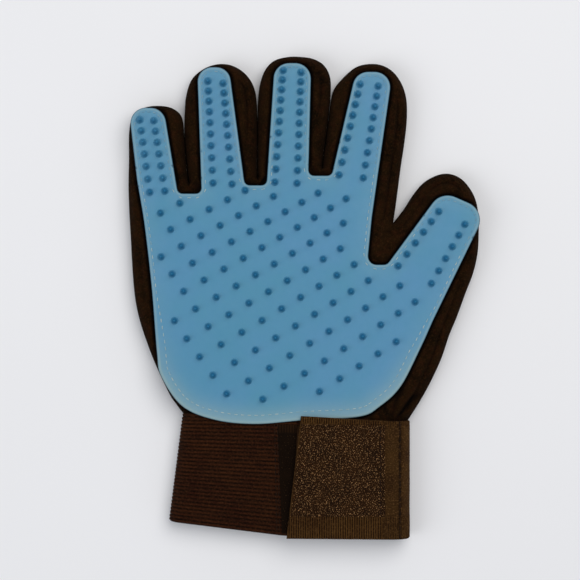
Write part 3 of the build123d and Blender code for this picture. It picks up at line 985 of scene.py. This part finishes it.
def stitch(place, way, length, width, height):
    """One stitch: a short rounded thread that sinks into the surface at both ends."""
    ahead = np.array((*way, 0)) * length / 2
    side = np.array((-way[1], way[0], 0)) * width / 2
    t = np.linspace(-1, 1, 7)[:, None, None]
    turn = np.linspace(0, 2 * math.pi, 8, endpoint=False)[:, None]
    girth = np.maximum(0.25, np.sqrt(np.maximum(0, 1 - t ** 4)))
    up = np.sin(turn) * height / 2 * girth + height * (0.35 - 0.6 * t * t)
    rings = place + ahead * t + side * np.cos(turn) * girth + up * (0, 0, 1)
    sunk = place - np.array((0, 0, 0.3 * height))
    return closed_tube(rings, sunk - ahead, sunk + ahead)


def stitches(name, places, ways, material, length, width, height):
    verts, faces, start = [], [], 0
    for place, way in zip(places, ways):
        v, f = stitch(place, way, length, width, height)
        verts.append(v)
        faces += [np.array(face) + start for face in f]
        start += len(v)
    return make_piece(name, np.vstack(verts), faces, material)


def build_pad_seam():
    home = stretch_of(seam_places)
    for k, stretch in enumerate(STRETCHES):
        own = home == k
        if not own.any():
            continue
        places = np.column_stack([seam_places[own], PAD_TOP - 0.1 + relief(seam_places[own])])
        look = PALE_THREAD if stretch == "palm" else FAINT_THREAD
        piece = stitches(f"pad_seam_{stretch}", places, seam_ways[own], look, 2.1, 0.42, 0.36)
        hang_on(piece, stretch)
        if stretch == "palm":
            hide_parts("pad_thread")


# ==== the cuff and the strap ====


def turned_out(verts, quads):
    """The same four-cornered faces, all turned over if the shape that they close is inside out."""
    corners = verts[quads]
    a, b, c, d = (corners[:, k] for k in range(4))
    volume = (a * (np.cross(b, c) + np.cross(c, d))).sum()
    return quads if volume > 0 else quads[:, ::-1]


def slab(rows, columns, outer, inner):
    """A closed sheet between two surfaces, each a function of a row and a column."""
    u, v = np.meshgrid(rows, columns, indexing="ij")
    grid = np.arange(u.size).reshape(u.shape)
    over = np.stack([grid[:-1, :-1], grid[1:, :-1], grid[1:, 1:], grid[:-1, 1:]], axis=2).reshape(-1, 4)
    loop = np.concatenate([grid[0], grid[1:, -1], grid[-1, -2::-1], grid[-2:0:-1, 0]])
    after = np.roll(loop, -1)
    sides = np.column_stack([loop, after, after + u.size, loop + u.size])
    u, v = u.ravel(), v.ravel()
    verts = np.vstack([np.stack(surface(u, v), axis=1) for surface in (outer, inner)])
    return verts, turned_out(verts, np.vstack([over, over[:, ::-1] + u.size, sides])), u, v


# ---- elastic: across the front, round the fold on the little finger's side, and across the back ----
ELASTIC = 1.6
CUFF_BEND_X = -9.7
CUFF_BEND_Y = -114.7
FOLD_X = -52.4
FOLD_Y = -54.0
FOLD_SLOPE = 0.1208  # the fold moves out by this much for each millimetre down
BACK_RIGHT_X = 32.0
RIBS = 30


def cuff_low(x):
    """The lower edge of the cuff, which bends at one place and rises to the left of it."""
    past = x - CUFF_BEND_X
    return CUFF_BEND_Y - past * np.where(past < 0, 0.1238, 0.016)


def cuff_place(u, v, lift):
    """A lifted point of the elastic: u from its front end, in millimetres, and v from 0 above to 1 below."""
    front = CUFF_RIGHT_X - FOLD_X
    arc = math.pi * HALF
    y_guess = CUFF_TOP_Y + (cuff_low(np.full_like(u, -40.0)) - CUFF_TOP_Y) * v
    fold = FOLD_X + FOLD_SLOPE * (y_guess - FOLD_Y)
    stretch = (CUFF_RIGHT_X - fold) / front
    angle = np.clip((u - front) / HALF, 0, math.pi)
    on_front = u < front
    on_back = u > front + arc
    x = np.where(on_front, CUFF_RIGHT_X - u * stretch, fold - (HALF + lift) * np.sin(angle))
    x = np.where(on_back, fold + (u - front - arc) * stretch, x)
    z = HALF + (HALF + lift) * np.cos(angle)
    upper = np.where(z > HALF, cuff_top(x), CUFF_TOP_Y)
    y = upper + (cuff_low(x) - upper) * v
    return x, y, z


def build_elastic():
    front = CUFF_RIGHT_X - FOLD_X
    round_fold = front + math.pi * HALF
    end = round_fold + BACK_RIGHT_X - FOLD_X
    stretches = [np.linspace(0, front, 48), np.linspace(front, round_fold, 18)[1:]]
    u = np.concatenate(stretches + [np.linspace(round_fold, end, 34)[1:]])
    v = np.linspace(0, 1, RIBS * 6 + 1)

    def rib(vv):
        return np.abs(np.sin(math.pi * vv * RIBS)) ** 0.7

    def outer(uu, vv):
        wave = 0.08 * grain(np.column_stack([uu, vv * 60]), 11, 4.4) * (uu < front)
        edge = 0.5 * (bump(vv, 0, 0.012) + bump(vv, 1, 0.012))
        return cuff_place(uu, vv, wave - 0.5 * (1 - rib(vv)) - edge - 0.1)

    def inner(uu, vv):
        return cuff_place(uu, vv, 0.15 * rib(vv) - ELASTIC)

    verts, faces, _, vv = slab(u, v, outer, inner)
    # painted shade: dark in the grooves between the ribs, and less so on the inner face
    shade = rib(vv) ** 2.4
    tones = np.concatenate([shade, shade * 0.6])
    piece = make_piece("cuff_elastic_band", verts, faces, ELASTIC_LOOK, tone=tones)
    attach(piece, "palm")
    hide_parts("cuff_elastic")


def on_tape(corners, u, v):
    """Points of a flat tape: u from 0 at the left to 1, v from 0 at the top to 1."""
    upper_left, upper_right, lower_right, lower_left = (np.array(c, float) for c in corners)
    upper = upper_left * (1 - u) + upper_right * u
    return upper * (1 - v) + (lower_left * (1 - u) + lower_right * u) * v


def extent(corners):
    """A tape's width along its upper and its lower edge, and its height along its left edge."""
    a, b, c, d = np.array(corners, float)
    return np.linalg.norm(b - a), np.linalg.norm(c - d), np.linalg.norm(d - a)


def tape_slab(corners, low, top, rough, step, ribs=(), pitch=1.0):
    """A flat tape between two levels: its corners, its faces and its shade.
    ribs are the bands, from and to in millimetres below the upper edge, with fine ribs across."""
    upper, lower, tall = extent(corners)
    wide = max(upper, lower)
    rows = np.linspace(0, 1, max(3, round(wide / step)))
    columns = np.linspace(0, 1, max(3, round(tall / (step * 1.6))))

    def spot(u, v):
        return on_tape(corners, u[:, None], v[:, None])

    def ribbed(v):
        share = np.zeros_like(v)
        for first, last in ribs:
            here = smoothstep((v * tall - first) / 0.8) * smoothstep((last - v * tall) / 0.8)
            share = np.maximum(share, here)
        return share

    def outer(u, v):
        p = spot(u, v)
        edge = np.minimum(np.minimum(u, 1 - u) * wide, np.minimum(v, 1 - v) * tall)
        z = top - 0.5 * (1 - rise(edge, 0.7))
        z = z + ribbed(v) * 0.24 * (np.clip(1.4 * np.sin(2 * math.pi * p[:, 0] / pitch), -1, 1) - 1)
        z = z + (1 - ribbed(v)) * rough * (grain(p, 1.1, 8.8) - 0.6) + 0.12 * (grain(p, 13, 6.1) - 0.5)
        return *p.T, z

    def inner(u, v):
        return *spot(u, v).T, np.full(len(u), low)

    verts, faces, u, v = slab(rows, columns, outer, inner)
    bands = ribbed(v)
    # painted shade: darker in the grooves between the fine ribs and lighter on their crests
    line = 0.5 + 0.5 * np.clip(1.6 * np.sin(2 * math.pi * spot(u, v)[:, 0] / pitch), -1, 1)
    return verts, faces, np.concatenate([0.45 * (1 - bands) + bands * line, np.full(len(u), 0.4)])


# the line of one bristle: out, and up
BRISTLE = np.array([(0.0, -0.15), (0.05, 0.35), (0.2, 0.62), (0.42, 0.66), (0.55, 0.45)])
BRISTLE_GIRTH = 1.15 - 0.16 * np.arange(5)[:, None]
BRISTLE_TURN = np.array((0.0, 2.094, 4.189))
BRISTLE_FACES = [*tube_faces(5, 3).tolist(), (2, 1, 0), (12, 13, 14)]


def bristles(corners, level, up, pitch, seed, size):
    """Rows of small bent bristles over a tape, above or below its face: corners, faces and tones."""
    random = np.random.default_rng(seed)
    wide, _, tall = extent(corners)
    nx, ny = int(wide / pitch[0]), int(tall / pitch[1])
    verts, tones = [], []
    for j in range(ny):
        for i in range(nx):
            if random.random() < 0.06:
                continue
            u = (i + 0.5 + 0.5 * (j % 2) + random.uniform(-0.25, 0.25)) / (nx + 0.5)
            v = (j + 0.5 + random.uniform(-0.28, 0.28)) / ny
            x, y = on_tape(corners, u, v)
            way = random.uniform(0, 2 * math.pi)
            line = BRISTLE * (size, size * random.uniform(0.75, 1.15))
            ahead = unit(np.gradient(line, axis=0))
            radius = 0.2 * size * random.uniform(0.8, 1.25) * BRISTLE_GIRTH
            out = line[:, :1] + ahead[:, 1:] * radius * np.cos(BRISTLE_TURN)
            height = line[:, 1:] - ahead[:, :1] * radius * np.cos(BRISTLE_TURN)
            side = radius * np.sin(BRISTLE_TURN)
            c, s = math.cos(way), math.sin(way)
            ring = [x + c * out - s * side, y + s * out + c * side, level + up * height]
            verts.append(np.stack(ring, axis=2).reshape(-1, 3))
            # a painted glint of random strength on each bristle, with the lower rings at half of it as
            # painted shade at the root
            bright = 0.2 + 0.8 * random.uniform(0, 1) ** 1.5
            tones += [bright * 0.5] * 6 + [bright] * 9
    faces = [np.array(f)[::up] + 15 * k for k in range(len(verts)) for f in BRISTLE_FACES]
    return np.vstack(verts), faces, np.array(tones)


# ---- the layers over the cuff ----
WEB_LOW = 14.7
WEB_TOP = 16.1
WEB = 1.4
WEB_PITCH = 1.12  # of the fine ribs across the webbing
# the webbing is ribbed above the first of these and below the second, which is 2 lower on the flat strap
BANDS = (3.4, 45.5)
STRAP_CUT_X = 37.4  # where the flat strap passes into its fold
STRAP_HINGE_X = 43.0
STRAP_TOP_Y = -59.4
STRAP_LOW_Y = -116.0
STRAP_LEFT = [(-1.4, -56.9), (-8.3, -115.6)]
LOOP_CORNERS = [(-1.2, -60.6), (39.0, -61.4), (39.0, -105.0), (-6.5, -105.0)]
HOOK_CORNERS = [(-3.0, -62.0), (36.0, -62.0), (36.0, -112.0), (-6.0, -112.0)]
LANDING_CORNERS = [(-12.5, -61.2), (38.0, -61.2), (38.0, -114.4), (-10.5, -113.6)]
LANDING_PILE = [(-11.9, -66), (36, -66), (36, -112), (-10.3, -112)]
LANDING_PITCH = 1.3  # of the ribs along its woven edge
LANDING_EDGE_Y = -65.4  # where that edge ends

# body, tape (outline, low, top, roughness, step, and its ribs), bristles (outline, level, up or down,
# pitches, seed, size) and how bright they are
PILE_TAPES = {
    "loop_tape": (
        "strap", (LOOP_CORNERS, WEB_TOP - 0.1, 16.55, 0.2, 0.9),
        (LOOP_CORNERS, 16.4, 1, (0.86, 0.78), 11, 0.86), 1.0,
    ),
    "hook_tape": (
        "strap", (HOOK_CORNERS, WEB_LOW + 0.05, 14.3, 0.1, 1.0),
        (HOOK_CORNERS, 14.35, -1, (1.6, 1.5), 12, 0.85), 0.6,
    ),
    # the landing tape's bristles are dimmed to 0.12, a painted shadow under the strap
    "landing_tape": (
        "palm", (LANDING_CORNERS, 12.0, 12.75, 0.25, 0.33, [(0, 4)], LANDING_PITCH),
        (LANDING_PILE, 12.65, 1, (1.5, 1.4), 13, 0.75), 0.12,
    ),
}


def strap_top(x):
    """The strap's upper edge, from its free end to its fold."""
    share = (x - STRAP_LEFT[0][0]) / (STRAP_HINGE_X - STRAP_LEFT[0][0])
    return STRAP_LEFT[0][1] + (STRAP_TOP_Y - STRAP_LEFT[0][1]) * share


def build_strap():
    cut = [(STRAP_CUT_X, strap_top(STRAP_CUT_X)), (STRAP_CUT_X, STRAP_LOW_Y)]
    corners = [STRAP_LEFT[0], *cut, STRAP_LEFT[1]]
    verts, faces, shade = tape_slab(
        corners, WEB_LOW, WEB_TOP, 0.06, 0.24, [(0, BANDS[0]), (BANDS[1] + 2, 60)], WEB_PITCH)
    webbing = make_piece("strap_webbing_band", verts, faces, WEBBING_LOOK, tone=shade)
    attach(webbing, "strap")
    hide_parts("strap_webbing")
    for name, (body, tape, pile, bright) in PILE_TAPES.items():
        verts, faces, _ = tape_slab(*tape)
        more, more_faces, tones = bristles(*pile)
        faces = [*faces, *(f + len(verts) for f in more_faces)]
        tones = np.concatenate([np.zeros(len(verts)), tones * bright])
        piece = make_piece(f"{name}_strip_pile", np.vstack([verts, more]), faces, PILE_LOOK, tone=tones)
        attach(piece, body)
        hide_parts(name)
    # the last of them, the landing tape, is darker past its woven edge, and between the ribs of that edge:
    # painted shadow under the strap, and painted shade between the ribs
    x, y, _ = np.array([v.co for v in piece.data.vertices]).T / MM
    woven = smoothstep((y - LANDING_EDGE_Y) / 0.8)
    give(piece.data, "shadow", 0.85 - woven * (0.45 + 0.4 * np.sin(2 * math.pi * x / LANDING_PITCH)))


FOLD_CENTRE_X = 43.15
FOLD_RADIUS = 8.05
FOLD_START = FOLD_CENTRE_X - STRAP_CUT_X
FOLD_END = FOLD_START + math.pi * FOLD_RADIUS
FOLD_LENGTH = FOLD_END + FOLD_CENTRE_X - 30.0
FOLD_TALL = 57.0
FOLD_SEAM = FOLD_START + 3.0


def fold_place(u, v, lift):
    """A point of the strap's fold: u along it from the flat strap, round, to the back; v down it."""
    angle = np.clip((u - FOLD_START) / FOLD_RADIUS, 0, math.pi)
    x = np.where(u < FOLD_START, STRAP_CUT_X + u, FOLD_CENTRE_X + (FOLD_RADIUS + lift) * np.sin(angle))
    x = np.where(u > FOLD_END, FOLD_CENTRE_X - (u - FOLD_END), x)
    z = FOLD_RADIUS + (FOLD_RADIUS + lift) * np.cos(angle)
    upper = strap_top(np.minimum(x, STRAP_HINGE_X))
    return x, upper + (STRAP_LOW_Y - upper) * v, z


def build_fold():
    def bands(v):
        down = v * FOLD_TALL
        return np.maximum(smoothstep((BANDS[0] - down) / 0.8), smoothstep((down - BANDS[1]) / 0.8))

    def outer(u, v):
        edge = np.minimum(v, 1 - v) * FOLD_TALL
        lift = bands(v) * 0.22 * (np.sin(2 * math.pi * u / WEB_PITCH) - 1) - 0.4 * (1 - rise(edge, 0.6))
        lift += 0.12 * (grain(np.column_stack([u, v * FOLD_TALL]), 9, 5.2) - 0.6)
        return fold_place(u, v, lift - 0.3 * bump(u, FOLD_SEAM, 0.45))

    def inner(u, v):
        return fold_place(u, v, -WEB)

    columns = np.linspace(0, 1, 110)
    verts, faces, u, v = slab(np.linspace(0, FOLD_LENGTH, round(FOLD_LENGTH / 0.45)), columns, outer, inner)
    # a painted highlight along the fold's curve, painted shade in the seam's groove, and painted shade
    # between the fine ribs with lighter crests
    shade = 0.42 + 0.15 * bump(u, FOLD_START + 6.5, 3.0) - 0.4 * bump(u, FOLD_SEAM, 0.8)
    shade += 0.4 * bands(v) * np.sin(2 * math.pi * u / WEB_PITCH)
    tones = np.concatenate([shade, np.full(len(shade), 0.4)])
    piece = make_piece("strap_fold", verts, faces, WEBBING_LOOK, tone=tones)
    bend_strap(piece)
    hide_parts("strap_root")

    down = (np.arange(16) + 0.5) / 16
    places = np.column_stack(fold_place(np.full(16, FOLD_SEAM), down, -0.2))
    seam = stitches("strap_fold_seam", places, [(0.0, -1.0)] * 16, DARK_THREAD, 2.4, 0.5, 0.4)
    bend_strap(seam)


def bend_strap(piece):
    """Bakes the transform of a piece of the strap's fold into its corners."""
    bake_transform(piece)


def build_cuff_seams():
    # one or two rows, from and to, at a level
    for name, rows, start, end, z, body, node in (
        ("cuff_seam", (0.0, 1.3), (-14.0, -60.0), (-12.9, -112.5), 11.95, "palm", "cuff_thread"),
        ("strap_seam", (0.0,), (36.6, -62.5), (36.6, -104), 17.0, "strap", "strap_thread"),
    ):
        start = np.array((*start, z))
        run = np.array((*end, z)) - start
        count = int(-run[1] / 3.2)
        share = (np.arange(count)[:, None] + 0.5) / count
        places = np.vstack([start + (dx, 0, 0) + run * share for dx in rows])
        piece = stitches(name, places, [unit(run[:2])] * len(places), DARK_THREAD, 2.3, 0.5, 0.4)
        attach(piece, body)
        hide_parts(node)


build_fabric()
build_pad()
build_pad_seam()
build_elastic()
build_strap()
build_fold()
build_cuff_seams()


# ==== floor, light and camera ====


def area_light(name, place, size, power, colour):
    data = bpy.data.lights.new(name, "AREA")
    data.shape = "DISK"
    data.size = size
    data.energy = power
    data.color = colour
    lamp = show(name, data)
    lamp.location = place
    lamp.rotation_euler = (-lamp.location).to_track_quat("-Z", "Y").to_euler()


def build_floor():
    n = Nodes("floor", 0.9, specular=0.1)
    material = n.finish(n.mix(n.noise(220, 2), (0.87, 0.87, 0.87, 1), (0.9, 0.9, 0.91, 1)))
    reach = 3.0
    corners = [(-reach, -reach, 0), (reach, -reach, 0), (reach, reach, 0), (-reach, reach, 0)]
    mesh = bpy.data.meshes.new("floor")
    mesh.from_pydata(corners, [], [(0, 1, 2, 3)])
    mesh.materials.append(material)
    show("floor", mesh)


build_floor()
area_light("key", (0.36, 0.5, 1.2), 1.3, 10.6, (1.0, 0.98, 0.96))
area_light("fill", (-0.9, -0.3, 0.9), 1.0, 4, (0.95, 0.97, 1.0))
world = bpy.data.worlds.new("studio")
world.use_nodes = True
world.node_tree.nodes["Background"].inputs["Color"].default_value = (0.9, 0.93, 1.0, 1)
world.node_tree.nodes["Background"].inputs["Strength"].default_value = 0.4
bpy.context.scene.world = world
bpy.context.scene.view_settings.view_transform = "Standard"

CAMERA_HEIGHT = 0.9
LOOKED_AT = 0.012  # the level at which the view is as wide as this
VIEW_WIDTH = 0.2784
VIEW_CENTRE = (-0.0066, 0.0034)
camera_data = bpy.data.cameras.new("camera")
camera_data.sensor_width = 36
camera_data.lens = 36 * CAMERA_HEIGHT / VIEW_WIDTH
camera = show("camera", camera_data)
camera.location = (*VIEW_CENTRE, CAMERA_HEIGHT + LOOKED_AT)
bpy.context.scene.camera = camera
